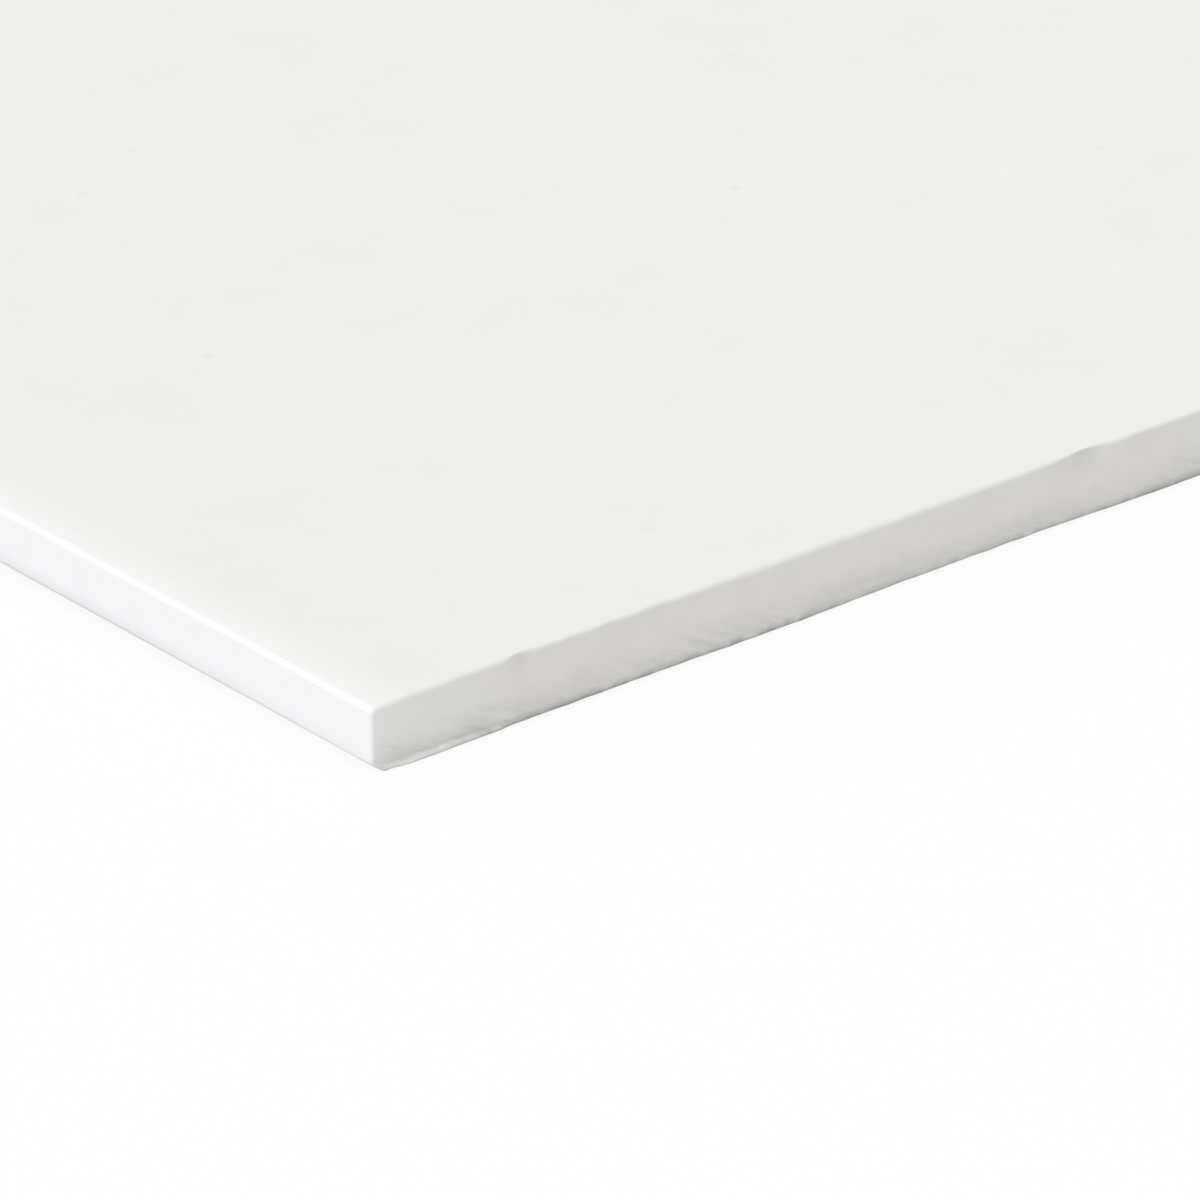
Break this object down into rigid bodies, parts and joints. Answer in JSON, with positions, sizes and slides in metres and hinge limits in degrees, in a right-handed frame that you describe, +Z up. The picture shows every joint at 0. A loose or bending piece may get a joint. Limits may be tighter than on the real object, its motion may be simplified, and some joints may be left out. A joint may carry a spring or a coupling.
{
  "type": "aluminium composite panel",
  "caption": "Flat white rectangular panel sheet with plain faces and plain cut edges, for cladding, lining and sign boards.",
  "frame": {"origin": "middle of the underside, the face that lies on the floor", "axes": "+X along the sheet's length, +Y across its width, +Z up out of the finished face"},
  "size_m": [1.22, 0.61, 0.004],
  "materials": {
    "white_coating": "matt white factory coating"
  },
  "bodies": {
    "root": {"panel_sheet": "white_coating"}
  },
  "joints": []
}
